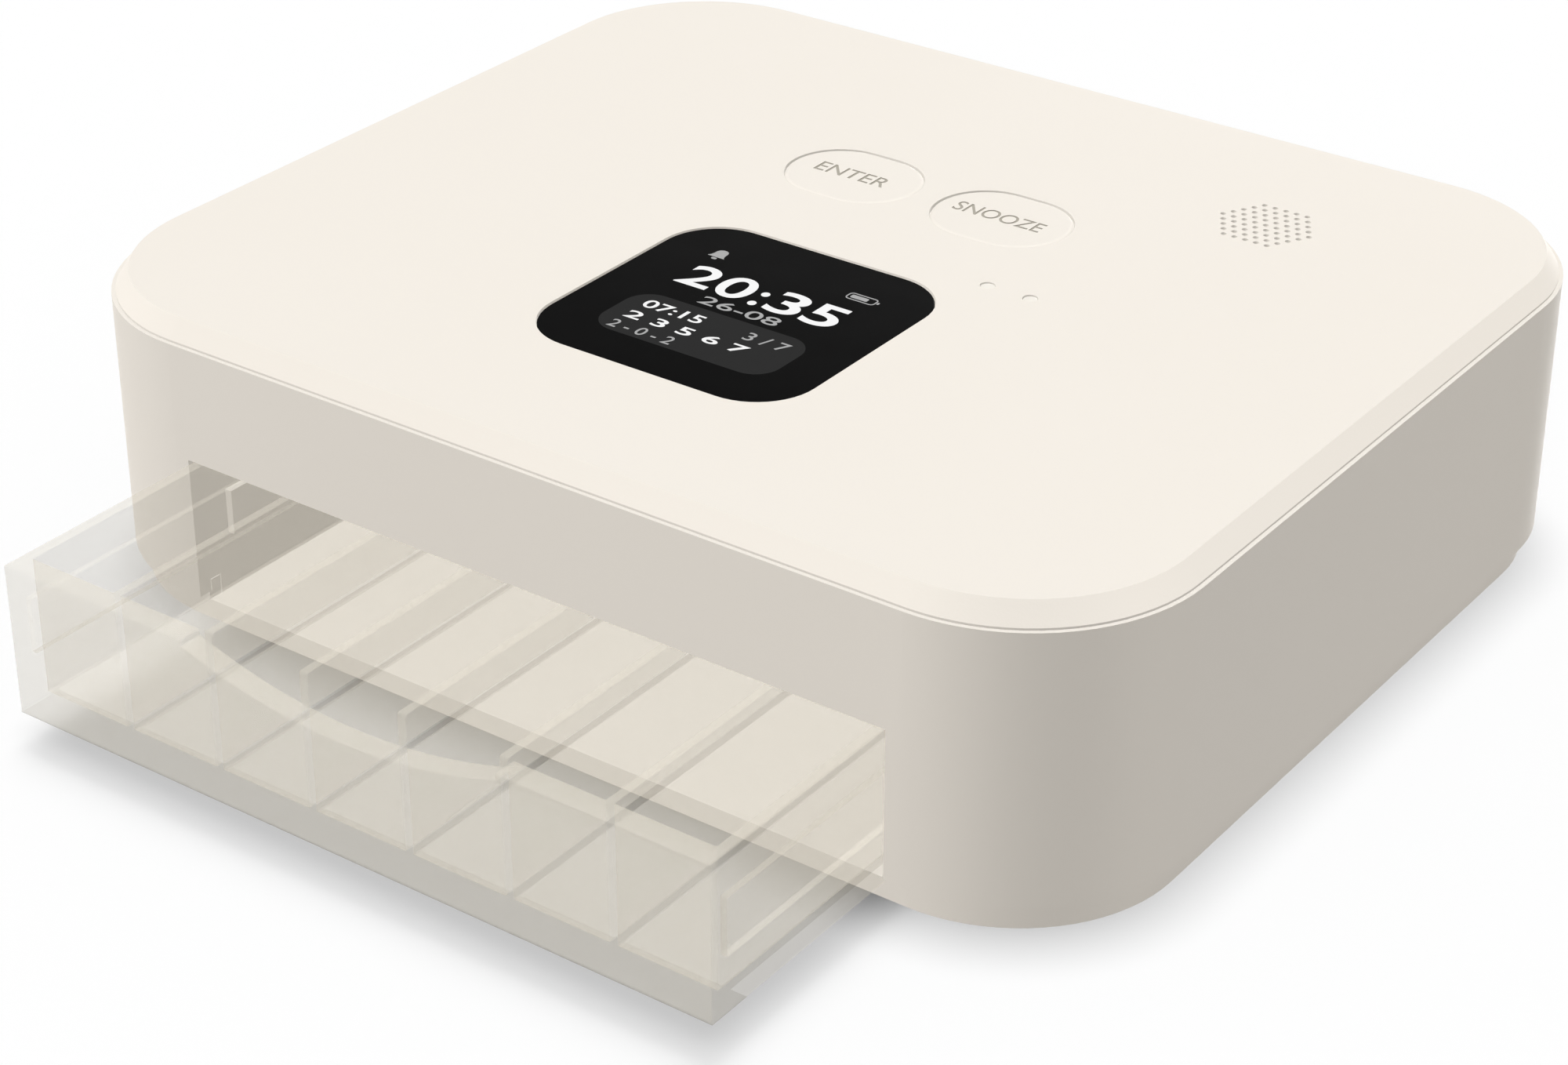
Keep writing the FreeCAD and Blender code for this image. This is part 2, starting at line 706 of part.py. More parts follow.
save(rod(grille_x, grille_y, mesh_z, under_z, speaker_radius), "speaker_mesh")
gasket = rod(grille_x, grille_y, gasket_z, mesh_z, speaker_radius)
save(gasket.cut(rod(grille_x, grille_y, gasket_z - past, mesh_z + past, cone_top_radius)), "speaker_gasket")
driver = rod(grille_x, grille_y, ring_z, gasket_z, speaker_radius).cut(cone_form(cone_z))
driver = driver.fuse(rod(grille_x, grille_y, clamp_top, ring_z, speaker_magnet_radius))
save(driver.removeSplitter(), "speaker_frame")
save(cone_form(cone_z).cut(cone_form(cone_z + cone_thickness)), "speaker_cone")
clamp = pill(2 * clamp_reach + clamp_width, clamp_width, clamp_z, clamp_top, 0.0, 0.0)
clamp.rotate(vec(0, 0, 0), vec(0, 0, 1), 90)
clamp.translate(vec(grille_x, grille_y, 0))
clamp_screws = []
for cx, cy in clamps:
    clamp = clamp.cut(rod(cx, cy, clamp_z - past, clamp_top + past, small_screw_radius + hole_clearance))
    bite = under_z - pilot_roof - tip_gap - clamp_z
    clamp_screws.append(screw_up(cx, cy, clamp_z, bite, small_screw))
save(clamp, "speaker_clamp")
save(Part.makeCompound(clamp_screws), "clamp_screws")
start = vec(grille_x - speaker_magnet_radius, grille_y, (clamp_top + ring_z) / 2)
end = vec(board_half - speaker_lead_inset, board_back, (board_z + board_top) / 2)
route = [start, start - vec(speaker_lead_exit, 0, 0), end + vec(0, speaker_lead_run, 0), end]
save(lead("speaker_cable", route, speaker_lead_radius), "speaker_cable")

# Charging: a small board on two posts at the back, its port in the wall, and a lead to the main board.
charge = box(-charge_width / 2, charge_width / 2, charge_front, charge_back, post_z, charge_top)
charge_screws = []
for px, py in posts:
    charge = charge.cut(rod(px, py, post_z - past, charge_top + past, small_screw_radius + hole_clearance))
    bite = charge_top - bay_floor_z - pilot_floor - tip_gap
    charge_screws.append(screw_down(px, py, charge_top, bite, small_screw))
save(charge, "charge_board")
save(Part.makeCompound(charge_screws), "charge_screws")
port = pill(port_width, port_height, 0.0, port_depth, 0.0, 0.0)
mouth_width = port_width - 2 * port_shell
mouth_height = port_height - 2 * port_shell
port = port.cut(pill(mouth_width, mouth_height, port_back, port_depth + past, 0.0, 0.0))
tongue = box(0.0, tongue_width, 0.0, tongue_thickness, port_back - root, port_depth - tongue_setback)
tongue.translate(vec(-tongue_width / 2, -tongue_thickness / 2, 0))
port = port.fuse(tongue)
port.rotate(vec(0, 0, 0), vec(1, 0, 0), -90)
port.translate(vec(0, back_y - port_recess - port_depth, port_z))
save(port.removeSplitter(), "charge_port")
start = vec(charge_lead_x, charge_front, (post_z + charge_top) / 2)
end = vec(charge_lead_x, board_back - charge_lead_inset, board_z)
route = [start, start - vec(0, charge_lead_run, 0), end - vec(0, 0, charge_lead_run), end]
save(lead("charge_cable", route, charge_lead_radius), "charge_cable")

# Screws of the base, the bay and the main board.
base_screws = []
for cx, cy in columns:
    base_screws.append(screw_up(cx, cy, base_head_z, base_screw_length, large_screw))
save(Part.makeCompound(base_screws), "base_screws")
bay_screws = []
for tx, ty in tabs:
    bite = tab_top - bay_floor_z - pilot_floor - tip_gap
    bay_screws.append(screw_down(tx, ty, tab_top, bite, large_screw))
save(Part.makeCompound(bay_screws), "bay_screws")
board_screws = []
for sx, sy in standoffs:
    bite = under_z - pilot_roof - tip_gap - board_z
    board_screws.append(screw_up(sx, sy, board_z, bite, small_screw))
save(Part.makeCompound(board_screws), "board_screws")
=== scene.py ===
import math

import bmesh
import bpy
from mathutils import Matrix, Vector


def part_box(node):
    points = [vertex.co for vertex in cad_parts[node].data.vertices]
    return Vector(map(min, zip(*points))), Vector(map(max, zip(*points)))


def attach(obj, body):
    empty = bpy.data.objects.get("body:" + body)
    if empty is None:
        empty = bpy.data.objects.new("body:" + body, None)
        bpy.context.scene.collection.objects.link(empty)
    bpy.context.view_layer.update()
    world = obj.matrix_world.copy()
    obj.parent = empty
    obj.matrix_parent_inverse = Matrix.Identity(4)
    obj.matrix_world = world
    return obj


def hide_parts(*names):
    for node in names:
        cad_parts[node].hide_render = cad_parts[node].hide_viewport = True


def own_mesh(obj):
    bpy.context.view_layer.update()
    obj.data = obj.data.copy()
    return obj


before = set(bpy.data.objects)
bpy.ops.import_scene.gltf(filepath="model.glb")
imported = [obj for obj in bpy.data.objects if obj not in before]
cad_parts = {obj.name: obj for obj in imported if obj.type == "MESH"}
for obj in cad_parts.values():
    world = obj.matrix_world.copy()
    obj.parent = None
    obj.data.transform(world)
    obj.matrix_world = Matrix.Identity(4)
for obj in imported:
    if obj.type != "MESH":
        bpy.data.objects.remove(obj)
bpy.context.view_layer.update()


# Anti-slip sole: a soft silicone sheet glued into the recess of the base, which the box stands on.
# It is moulded with a close grid of low studs, and the rubber has a faint bloom of dust.
class Signal:
    """A socket in a node tree. Arithmetic on it adds Math nodes."""

    def __init__(self, tree, socket=None):
        self.tree = tree
        self.socket = socket

    def node(self, kind, settings, sockets, output=0):
        made = self.tree.nodes.new(kind)
        for name, value in settings.items():
            setattr(made, name, value)
        for name, value in sockets.items():
            if isinstance(value, Signal):
                self.tree.links.new(value.socket, made.inputs[name])
            else:
                made.inputs[name].default_value = value
        return Signal(self.tree, made.outputs[output])

    def output(self, name):
        return Signal(self.tree, self.socket.node.outputs[name])

    def math(self, operation, *values):
        operands = dict(enumerate(values or (self,)))
        return self.node("ShaderNodeMath", {"operation": operation}, operands)

    def __add__(self, other):
        return self.math("ADD", self, other)

    def __radd__(self, other):
        return self.math("ADD", other, self)

    def __sub__(self, other):
        return self.math("SUBTRACT", self, other)

    def __rsub__(self, other):
        return self.math("SUBTRACT", other, self)

    def __mul__(self, other):
        return self.math("MULTIPLY", self, other)

    def __rmul__(self, other):
        return self.math("MULTIPLY", other, self)

    def __gt__(self, other):
        return self.math("GREATER_THAN", self, other)

    def __lt__(self, other):
        return self.math("LESS_THAN", self, other)


class Finish:
    """A material with one Principled shader, and the place on the part that its patterns follow."""

    def __init__(self, name, constants):
        self.material = bpy.data.materials.new(name)
        self.material.use_nodes = True
        tree = self.material.node_tree
        self.shader = tree.nodes["Principled BSDF"]
        for socket, value in constants.items():
            self.shader.inputs[socket].default_value = value
        self.place = Signal(tree).node("ShaderNodeTexCoord", {}, {}, "Object")

    def axes(self):
        split = self.place.node("ShaderNodeSeparateXYZ", {}, {0: self.place})
        return split, split.output("Y"), split.output("Z")

    def grain(self, scale, detail=2.0, stretch=(1, 1, 1)):
        drawn = self.place.node("ShaderNodeMapping", {}, {"Vector": self.place, "Scale": stretch})
        sockets = {"Vector": drawn, "Scale": scale, "Detail": detail}
        return self.place.node("ShaderNodeTexNoise", {}, sockets, "Fac")

    def cells(self, scale, feature="F1"):
        sockets = {"Vector": self.place, "Scale": scale}
        return self.place.node("ShaderNodeTexVoronoi", {"feature": feature}, sockets, "Distance")

    def feed(self, **signals):
        for name, signal in signals.items():
            socket = self.shader.inputs[name.replace("_", " ").title()]
            signal.tree.links.new(signal.socket, socket)

    def dress(self, *names):
        for name in names:
            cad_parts[name].material_slots[0].material = self.material


def tint(factor, first, second):
    return factor.node("ShaderNodeMix", {"data_type": "RGBA"}, {0: factor, 6: first, 7: second}, 2)


def relief(height, depth):
    return height.node("ShaderNodeBump", {}, {"Distance": depth, "Height": height})


stud_pitch = 0.0024
stud_height = 0.0002
stud_edge = 0.35

sole = Finish("sole_silicone", {"Specular IOR Level": 0.3})
x, y, z = sole.axes()
turns = 2 * math.pi / stud_pitch
studs = (x * turns).math("COSINE") * (y * turns).math("COSINE") > stud_edge
dust = sole.grain(45.0, 4.0)
sole.feed(
    base_color=tint(0.6 * dust + 0.4 * studs, (0.48, 0.46, 0.42, 1), (0.64, 0.62, 0.58, 1)),
    roughness=0.55 + 0.25 * dust,
    normal=relief(studs + 0.1 * sole.grain(3000.0), stud_height),
)
sole.dress("anti_slip_sole")


# Casing: base plate, body shell and lid, injection moulded in one ivory plastic.
# The tools are spark-eroded, which leaves a fine matt grain. The lid snaps into the shell, and the
# base is held by screws from below.
pore_scale = 2600.0
pore_depth = 0.000012

ivory = Finish("ivory_moulding", {"Specular IOR Level": 0.25})
flow = ivory.grain(14.0, 3.0)
pores = ivory.grain(pore_scale)
ivory.feed(
    base_color=tint(0.8 * flow + 0.2 * pores, (0.900, 0.847, 0.772, 1), (0.922, 0.875, 0.804, 1)),
    roughness=0.50 + 0.12 * pores,
    normal=relief(pores, pore_depth),
)
ivory.dress("base_plate", "body_shell", "top_cover")


# Drawer bay: the hood that the drawer slides in, moulded in the same plastic from a plainer tool.
# It is screwed to the base, and its guides are burnished along the way that the drawer rubs.
along_slide = (1, 0.03, 1)

bay = Finish("bay_moulding", {"Specular IOR Level": 0.25})
flow = bay.grain(18.0, 3.0)
rubbed = bay.grain(700.0, 1.0, stretch=along_slide)
bay.feed(
    base_color=tint(flow, (0.915, 0.860, 0.780, 1), (0.935, 0.885, 0.810, 1)),
    roughness=0.40 + 0.2 * rubbed,
    normal=relief(rubbed, 0.00001),
)
bay.dress("drawer_bay")


# Pill drawer: a tray of seven cells moulded in one shot of warm clear plastic, with a thumb scoop.
# Its walls and floor are faintly hazy, the thin dividers are clearer, and the underside is polished.
# On the underside, a strip behind the front face and a strip beside each divider are painted dark, which
# is painted shade. Only the underside throws a shadow.
haze = 0.29
side_clarity = 0.25
divider_clarity = 0.6
underside_clarity = 0.6
side_thickness = 0.002
divider_thickness = 0.0015
divider_shade = 0.0023
front_shade_width = 0.0079
underside_skin = 0.0003
compartments = 7

drawer_low, drawer_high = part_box("pill_drawer")

clear = Finish("clear_drawer", {"IOR": 1.49, "Specular IOR Level": 0.15})
x, y, z = clear.axes()
flow = clear.grain(22.0, 3.0)
scratches = clear.grain(420.0, 1.0, stretch=(1, 0.06, 1))
facing = clear.place.node("ShaderNodeNewGeometry", {}, {}, "True Normal")
across = clear.place.node("ShaderNodeSeparateXYZ", {}, {0: facing})
upright = across.math("ABSOLUTE") > 0.5
inside = x.math("ABSOLUTE") < drawer_high.x - 1.5 * side_thickness
wall_clarity = upright * (side_clarity + (divider_clarity - side_clarity) * inside)
underside = z < drawer_low.z + underside_skin
cell_pitch = (2 * (drawer_high.x - side_thickness) + divider_thickness) / compartments
# Painted shade: dark strips on the underside, behind the front face and just beside each divider.
from_side = x - (drawer_low.x + side_thickness - divider_shade)
along_cell = x.math("WRAP", from_side, cell_pitch, 0.0)
beside_divider_shade = along_cell > cell_pitch - divider_thickness
wall_shade_strips = x.math("MAXIMUM", beside_divider_shade, y < drawer_low.y + front_shade_width)
painted_foot_shade = underside * wall_shade_strips
shadow = clear.place.node("ShaderNodeLightPath", {}, {}, "Is Shadow Ray")
clearness = (1 - wall_clarity) * (1 - underside_clarity * (underside - painted_foot_shade))
plain = tint(flow, (0.900, 0.842, 0.715, 1), (0.922, 0.868, 0.745, 1))
clear.feed(
    # The dark tint on those underside strips is painted shade.
    base_color=tint(painted_foot_shade, plain, (0.32, 0.285, 0.21, 1)),
    roughness=0.16 + 0.14 * scratches,
    alpha=haze * clearness * (1 - shadow) + underside * shadow,
)
clear.dress("pill_drawer")


# Drawer magnet: a small sintered block pressed into the drawer's back for the sensor to find.
# It is nickel plated, bright, with fine tumbling marks.
nickel = Finish("nickel_plate", {"Metallic": 1.0})
marks = nickel.grain(1800.0, 3.0)
nickel.feed(
    base_color=tint(marks, (0.60, 0.58, 0.54, 1), (0.72, 0.70, 0.66, 1)),
    roughness=0.18 + 0.2 * marks,
    normal=relief(marks, 0.00001),
)
nickel.dress("drawer_magnet")


# Circuit boards: glass-fibre sheets with green lacquer over copper tracks, and tinned pads.
# The main board is screwed to the lid's posts, and the two small ones to the bay and the base.
board = Finish("circuit_board", {"Coat Weight": 0.2, "Coat Roughness": 0.2})
tracks = board.cells(320.0, "DISTANCE_TO_EDGE") < 0.07
pads = board.cells(420.0) < 0.16
weave = board.grain(2500.0, 1.0)
lacquer = tint(tracks, (0.012, 0.070, 0.034, 1), (0.030, 0.150, 0.070, 1))
board.feed(
    base_color=tint(pads, lacquer, (0.70, 0.68, 0.62, 1)),
    metallic=1.0 * pads,
    roughness=0.34 + 0.15 * weave,
    normal=relief(tracks + pads + 0.2 * weave, 0.00003),
)
board.dress("main_board", "charge_board", "sensor_board")


# Drawer sensor: a chip in black moulded resin, soldered to the small board behind the bay.
# Its resin is matt from the tool, with a round ejector mark.
resin = Finish("black_resin", {"Specular IOR Level": 0.3})
sparks = resin.grain(9000.0)
resin.feed(
    base_color=tint(sparks, (0.010, 0.010, 0.011, 1), (0.028, 0.028, 0.030, 1)),
    roughness=0.45 + 0.2 * sparks,
    normal=relief(sparks, 0.00001),
)
resin.dress("hall_sensor")


# Key switches: two on the main board, with bodies of brushed sheet steel, soldered by their legs.
# Each has a plunger of black resin on top, which the button's dome pushes.
plunger_height = 0.00059

plunger_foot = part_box("tact_switches")[1].z - plunger_height
switches = Finish("key_switch", {})
x, y, z = switches.axes()
plunger = z > plunger_foot
brushed = switches.grain(2200.0, 1.0, stretch=(1, 0.05, 1))
steel = tint(brushed, (0.52, 0.52, 0.53, 1), (0.66, 0.66, 0.67, 1))
switches.feed(
    base_color=tint(plunger, steel, (0.015, 0.015, 0.016, 1)),
    metallic=1 - plunger,
    roughness=0.28 + 0.2 * brushed,
    normal=relief(brushed, 0.00001),
)
switches.dress("tact_switches")


# Wireless module: a tinned steel can over a small green board, soldered under the main board.
# The can is drawn from thin sheet, so it is faintly dented and has a dull grain.
module_board = 0.0008

can_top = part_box("wireless_module")[1].z - module_board
module = Finish("shield_can", {})
x, y, z = module.axes()
own_board = z > can_top
dull = module.grain(1500.0, 3.0)
tin = tint(dull, (0.55, 0.54, 0.51, 1), (0.68, 0.67, 0.64, 1))
module.feed(
    base_color=tint(own_board, tin, (0.012, 0.070, 0.034, 1)),
    metallic=1 - own_board,
    roughness=0.30 + 0.2 * dull,
    normal=relief(module.grain(220.0, 1.0), 0.00006),
)
module.dress("wireless_module")


# Battery: a flat cell in an aluminium foil pouch, taped to the bay's deck with a foam pad.
# The foil is softly wrinkled, and an amber tape covers the end where its leads come out.
tape_length = 0.006

tape_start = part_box("battery")[1].y - tape_length
pouch = Finish("foil_pouch", {})
x, y, z = pouch.axes()
tape = y > tape_start
wrinkles = pouch.grain(160.0, 3.0)
fine = pouch.grain(1700.0, 2.0)
foil = tint(fine, (0.50, 0.50, 0.50, 1), (0.62, 0.62, 0.61, 1))
pouch.feed(
    base_color=tint(tape, foil, (0.45, 0.20, 0.03, 1)),
    metallic=1 - 0.9 * tape,
    roughness=0.32 + 0.2 * fine,
    normal=relief(wrinkles + 0.1 * fine, 0.00012),
)
pouch.dress("battery")


# Foam: the battery's pad, the tape frame behind the screen and the speaker's gasket, die-cut from
# dark closed-cell foam with adhesive on both faces. The cells are open along the cut edges.
foam = Finish("cell_foam", {"Specular IOR Level": 0.2})
bubbles = foam.cells(5200.0)
foam.feed(
    base_color=tint(bubbles, (0.012, 0.012, 0.013, 1), (0.050, 0.050, 0.052, 1)),
    roughness=0.75 + 0.2 * bubbles,
    normal=relief(bubbles, 0.00008),
)
foam.dress("battery_pad", "display_adhesive", "speaker_gasket")


# Battery plug: a small housing moulded in natural nylon, soldered to the main board by its contacts.
# It has a rib over each contact, and the plastic is faintly speckled.
rib_pitch = 0.00157

nylon = Finish("nylon_housing", {"Specular IOR Level": 0.3})
x, y, z = nylon.axes()
ribs = (x * (2 * math.pi / rib_pitch)).math("SINE")
speckle = nylon.grain(3500.0)
nylon.feed(
    base_color=tint(speckle, (0.70, 0.67, 0.58, 1), (0.78, 0.76, 0.68, 1)),
    roughness=0.40 + 0.15 * speckle,
    normal=relief(ribs, 0.00006),
)
nylon.dress("battery_connector")


# Leads: stranded wires in soft silicone, soldered at both ends and routed inside the case.
# One of a pair is red and the other black. The lay of the strands shows faintly through the skin,
# which is scuffed.
lay_pitch = 0.0012
scuff_colour = (0.30, 0.30, 0.30, 1)
black_rubber = (0.006, 0.006, 0.007, 1)
red_rubber = (0.420, 0.012, 0.010, 1)
grey_rubber = (0.180, 0.180, 0.180, 1)
speaker_pair_middle = 0.0385


def lead_skin(name, left_colour, right_colour=None, parting=0.0):
    skin = Finish(name, {"Specular IOR Level": 0.35})
    x, y, z = skin.axes()
    lay = ((x + y + z) * (2 * math.pi / lay_pitch)).math("SINE")
    scuffs = skin.grain(1200.0)
    scuffed = tint(scuffs, left_colour, scuff_colour)
    if right_colour:
        scuffed = tint(x > parting, scuffed, tint(scuffs, right_colour, scuff_colour))
    skin.feed(
        base_color=scuffed,
        roughness=0.42 + 0.2 * scuffs,
        normal=relief(lay + scuffs, 0.00002),
    )
    return skin


lead_skin("battery_lead_skin", black_rubber, red_rubber).dress("battery_cable")
lead_skin("speaker_lead_skin", red_rubber, black_rubber, speaker_pair_middle).dress("speaker_cable")
lead_skin("sensor_lead_skin", grey_rubber).dress("sensor_cable")
lead_skin("charge_lead_skin", black_rubber).dress("charge_cable")


# Speaker: a pressed steel basket with a coated paper cone, under a bar of bent steel strip.
# A woven polyester cloth between it and the lid keeps dust out of the grille.
cloth_pitch = 0.00022

cloth = Finish("dust_cloth", {"Sheen Weight": 0.2})
x, y, z = cloth.axes()
turns = 2 * math.pi / cloth_pitch
warp = (x * turns).math("SINE")
weft = (y * turns).math("SINE")
woven = warp * weft
cloth.feed(
    base_color=tint(0.5 + 0.5 * woven, (0.46, 0.43, 0.38, 1), (0.58, 0.55, 0.49, 1)),
    roughness=0.80 + 0.1 * woven,
    normal=relief(woven, 0.00004),
)
cloth.dress("speaker_mesh")

basket = Finish("painted_steel", {"Coat Weight": 0.1})
orange_peel = basket.grain(1400.0, 2.0)
basket.feed(
    base_color=tint(orange_peel, (0.016, 0.016, 0.017, 1), (0.030, 0.030, 0.032, 1)),
    roughness=0.38 + 0.2 * orange_peel,
    normal=relief(orange_peel, 0.00003),
)
basket.dress("speaker_frame")

cone = Finish("coated_paper", {"Specular IOR Level": 0.2})
fibres = cone.grain(1500.0, 4.0, stretch=(1, 0.3, 1))
cone.feed(
    base_color=tint(fibres, (0.020, 0.019, 0.018, 1), (0.060, 0.057, 0.052, 1)),
    roughness=0.70 + 0.2 * fibres,
    normal=relief(fibres, 0.00005),
)
cone.dress("speaker_cone")

strip = Finish("steel_strip", {"Metallic": 1.0})
rolled = strip.grain(1500.0, 1.0, stretch=(1, 0.03, 1))
strip.feed(
    base_color=tint(rolled, (0.50, 0.50, 0.51, 1), (0.64, 0.64, 0.65, 1)),
    roughness=0.30 + 0.2 * rolled,
    normal=relief(rolled, 0.00002),
)
strip.dress("speaker_clamp")


# Screen module: a glass panel in a pressed aluminium tray, bonded behind the lens by a foam frame.
# Its strip of amber film with copper tracks folds down to the main board.
panel = Finish("panel_tray", {"Metallic": 1.0})
satin = panel.grain(2600.0, 2.0)
panel.feed(
    base_color=tint(satin, (0.40, 0.40, 0.41, 1), (0.50, 0.50, 0.51, 1)),
    roughness=0.35 + 0.2 * satin,
    normal=relief(satin, 0.00001),
)
panel.dress("display_panel")

track_pitch = 0.0007

flex = Finish("amber_film", {"Coat Weight": 0.3, "Coat Roughness": 0.1})
x, y, z = flex.axes()
copper = (x * (2 * math.pi / track_pitch)).math("SINE") > 0.2
dulled = flex.grain(900.0)
flex.feed(
    base_color=tint(copper, (0.36, 0.17, 0.03, 1), (0.56, 0.24, 0.07, 1)),
    roughness=0.25 + 0.2 * dulled,
    normal=relief(copper, 0.00002),
)
flex.dress("display_flex")


# Screen lens: a black-printed glass plate with rounded corners and a fine ground edge, bonded into the
# lid's pocket, a little below its face. It has a matt coating, with a few faint finger marks. Its black is
# painted lighter towards the back, which is a painted reflection.
def rounded_ring(bm, centre, width, depth, radius, z, steps=14):
    ring = []
    for turn, (sx, sy) in enumerate(((1, 1), (-1, 1), (-1, -1), (1, -1))):
        for step in range(steps + 1):
            angle = math.radians(90) * (turn + step / steps)
            px = centre.x + sx * (width / 2 - radius) + radius * math.cos(angle)
            py = centre.y + sy * (depth / 2 - radius) + radius * math.sin(angle)
            ring.append(bm.verts.new((px, py, z)))
    return ring


def skin_rings(bm, rings, hollow=False):
    uppers = rings[1:] + rings[:1] if hollow else rings[1:]
    for lower, upper in zip(rings, uppers):
        for k in range(len(lower)):
            after = (k + 1) % len(lower)
            bm.faces.new((lower[k], lower[after], upper[after], upper[k]))
    if not hollow:
        bm.faces.new(list(reversed(rings[0])))
        bm.faces.new(rings[-1])


def new_piece(name, bm, finish, body, smooth_angle=None):
    mesh = bpy.data.meshes.new(name)
    bm.to_mesh(mesh)
    bm.free()
    if smooth_angle:
        mesh.shade_smooth()
        mesh.set_sharp_from_angle(angle=math.radians(smooth_angle))
    mesh.materials.append(finish.material)
    piece = bpy.data.objects.new(name, mesh)
    bpy.context.scene.collection.objects.link(piece)
    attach(piece, body)
    return piece


lens_radius = 0.0105
lens_edge = 0.00018
lens_recess = 0.0002

lens_low, lens_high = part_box("display_lens")
lens_middle = (lens_low + lens_high) / 2
lens_width = lens_high.x - lens_low.x
lens_depth = lens_high.y - lens_low.y
lens_top = lens_high.z - lens_recess
bm = bmesh.new()
edge = 2 * lens_edge
skin_rings(bm, [
    rounded_ring(bm, lens_middle, lens_width, lens_depth, lens_radius, lens_low.z),
    rounded_ring(bm, lens_middle, lens_width, lens_depth, lens_radius, lens_top - lens_edge),
    rounded_ring(bm, lens_middle, lens_width - edge, lens_depth - edge, lens_radius - lens_edge, lens_top),
])
glass = Finish("black_glass", {"Specular IOR Level": 0.006})
x, y, z = glass.axes()
# Painted reflection: the black grows lighter towards the back of the lens.
rise = (y - lens_low.y) * (1 / lens_depth)
smears = glass.grain(90.0, 4.0)
glass.feed(
    base_color=tint(rise, (0.0025, 0.0025, 0.0025, 1), (0.0060, 0.0060, 0.0060, 1)),
    roughness=0.30 + 0.25 * smears,
)
lens = new_piece("screen_lens", bm, glass, "housing", smooth_angle=30)
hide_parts("display_lens")


# Screen picture: what the panel shows through the lens, drawn as thin lit shapes in its face.
# It is a clock with plain numbers, a bell, a battery sign, and a dark card with the cells' numbers.
def lettering(words, weight, left, right, low, high, bottom, top):
    curve = bpy.data.curves.new("lettering", "FONT")
    curve.body = words
    curve.offset = weight
    curve.extrude = 0.5
    curve.resolution_u = 8
    holder = bpy.data.objects.new("lettering", curve)
    mesh = bpy.data.meshes.new_from_object(holder)
    bpy.data.objects.remove(holder)
    bpy.data.curves.remove(curve)
    points = [v.co for v in mesh.vertices]
    first = Vector(min(p[k] for p in points) for k in range(3))
    last = Vector(max(p[k] for p in points) for k in range(3))
    size = last - first
    scale = Matrix.Diagonal(((right - left) / size.x, (high - low) / size.y, (top - bottom) / size.z, 1))
    mesh.transform(Matrix.Translation((left, low, bottom)) @ scale @ Matrix.Translation(-first))
    return mesh


def add_lettering(bm, *place):
    mesh = lettering(*place)
    bm.from_mesh(mesh)
    bpy.data.meshes.remove(mesh)
    bmesh.ops.remove_doubles(bm, verts=bm.verts, dist=1e-7)
    flat = [face for face in bm.faces if len(face.verts) == 3]
    bmesh.ops.beautify_fill(bm, faces=flat, edges=bm.edges)


dot_pitch = 0.00012


def lit_colour(name, colour):
    lit = Finish(name, {"Base Color": (0.003, 0.003, 0.003, 1), "Roughness": 0.4,
                        "Specular IOR Level": 0.006, "Emission Strength": 1.0})
    x, y, z = lit.axes()
    turns = 2 * math.pi / dot_pitch
    dots = (x * turns).math("SINE") * (y * turns).math("SINE")
    dark = tuple(0.9 * part for part in colour[:3]) + (1,)
    lit.feed(emission_color=tint(0.5 + 0.5 * dots, dark, colour))
    return lit


mm = 0.001
ink_foot = lens_top - 0.05 * mm
card_top = lens_top + 0.012 * mm
ink_top = lens_top + 0.03 * mm
card_width = 34.2 * mm
card_depth = 14.5 * mm
card_radius = 4.6 * mm
card_middle = lens_middle + Vector((0.2, -9.65, 0)) * mm

white = bmesh.new()
grey = bmesh.new()
for words, weight, ink, left, right, low, high in (
    ("2", 0.014, white, -15.1, -8.9, 3.1, 10.6),
    ("0", 0.014, white, -8.2, -1.9, 3.0, 10.7),
    (":", 0.012, white, -0.6, 0.9, 3.0, 8.3),
    ("3", 0.014, white, 2.2, 8.2, 3.0, 10.7),
    ("5", 0.014, white, 9.2, 15.4, 3.0, 10.6),
    ("26-08", 0.004, grey, -7.2, 8.0, -1.1, 1.7),
    ("07:15", 0.012, white, -13.7, -2.2, -7.4, -4.6),
    ("2 3 5 6 7", 0.014, white, -13.7, 9.6, -11.9, -9.2),
    ("3 / 7", 0.004, grey, 6.3, 14.4, -7.5, -4.8),
    ("2 - 0 - 2", 0.004, grey, -13.9, -1.6, -15.9, -13.3),
):
    add_lettering(ink, words, weight,
                  lens_middle.x + left * mm, lens_middle.x + right * mm,
                  lens_middle.y + low * mm, lens_middle.y + high * mm, ink_foot, ink_top)

battery_sign = lens_middle + Vector((13.5, 15.25, 0)) * mm
case_width = 5.5 * mm
case_depth = 2.3 * mm
case_radius = 0.75 * mm
case_line = 0.22 * mm
outer = [rounded_ring(grey, battery_sign, case_width, case_depth, case_radius, level, 5)
         for level in (ink_foot, ink_top)]
inner = [rounded_ring(grey, battery_sign, case_width - 2 * case_line, case_depth - 2 * case_line,
                      case_radius - case_line, level, 5) for level in (ink_foot, ink_top)]
for k in range(len(outer[0])):
    after = (k + 1) % len(outer[0])
    for a, b in ((outer[0], outer[1]), (inner[1], inner[0]), (outer[1], inner[1]), (inner[0], outer[0])):
        grey.faces.new((a[k], a[after], b[after], b[k]))
for offset, width, depth, radius in ((-0.45, 3.2, 1.05, 0.25), (3.1, 0.4, 0.7, 0.19)):
    spot = battery_sign + Vector((offset, 0, 0)) * mm
    skin_rings(grey, [rounded_ring(grey, spot, width * mm, depth * mm, radius * mm, level, 4)
                      for level in (ink_foot, ink_top)])

